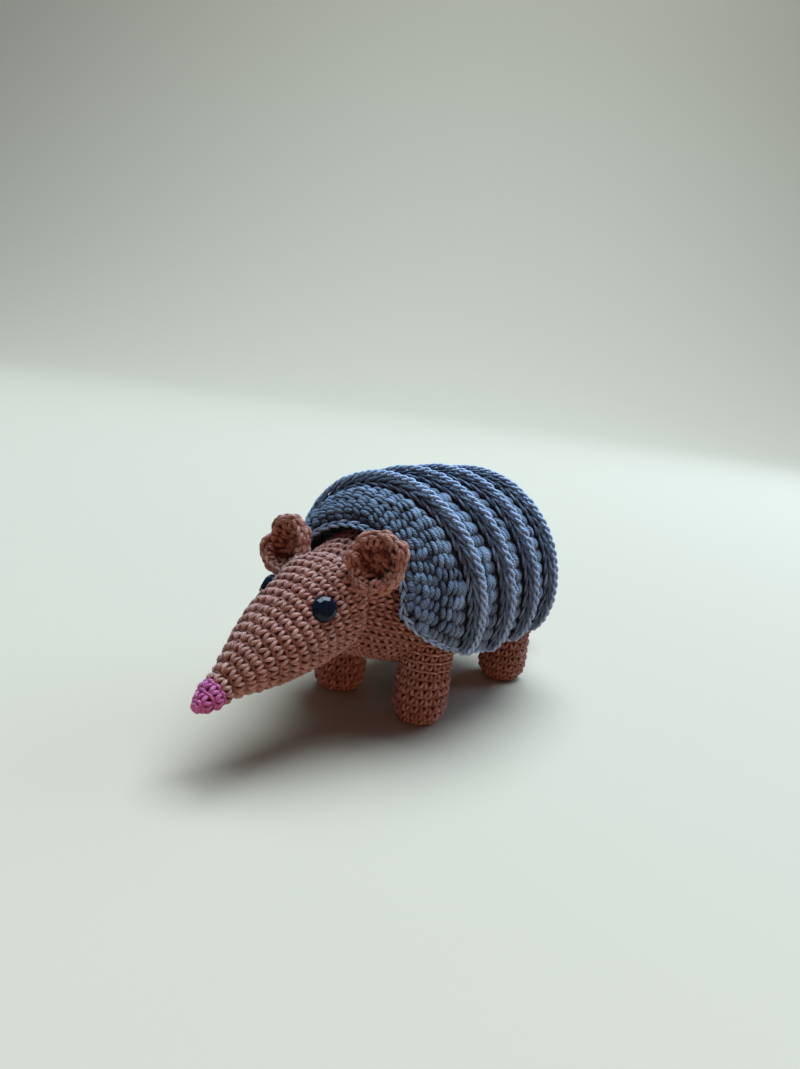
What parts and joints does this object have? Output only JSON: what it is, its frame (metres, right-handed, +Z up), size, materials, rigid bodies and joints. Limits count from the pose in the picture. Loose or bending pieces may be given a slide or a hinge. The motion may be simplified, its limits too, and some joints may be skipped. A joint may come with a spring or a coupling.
{
  "type": "crocheted toy armadillo",
  "caption": "Stuffed crocheted armadillo toy standing on stubby feet, with a long snout, cupped ears and a ridged slate-blue shell.",
  "frame": {"origin": "on the floor under the middle of the toy, halfway between nose and tail tip", "axes": "+Z up, -Y towards the nose, +X towards the toy's own left side"},
  "size_m": [0.0708, 0.1762, 0.0732],
  "materials": {
    "brown_cotton": "matt crocheted cotton yarn, warm brown",
    "pink_cotton": "matt crocheted cotton yarn, magenta pink",
    "slate_cotton": "matt crocheted cotton yarn, slate blue",
    "black_plastic": "polished black, faceted"
  },
  "bodies": {
    "root": {"nose": "pink_cotton", "head": "brown_cotton", "eye_left": "black_plastic", "eye_right": "black_plastic", "ear_left": "brown_cotton", "ear_right": "brown_cotton", "neck": "brown_cotton", "trunk": "brown_cotton", "shell_ridge_1": "slate_cotton", "shell_ridge_2": "slate_cotton", "shell_ridge_3": "slate_cotton", "shell_ridge_4": "slate_cotton", "shell_band_1": "slate_cotton", "shell_band_2": "slate_cotton", "shell_band_3": "slate_cotton", "shell_front": "slate_cotton", "shell_rear": "slate_cotton", "leg_front_left": "brown_cotton", "leg_front_right": "brown_cotton", "leg_rear_left": "brown_cotton", "leg_rear_right": "brown_cotton", "tail": "brown_cotton"}
  },
  "joints": []
}
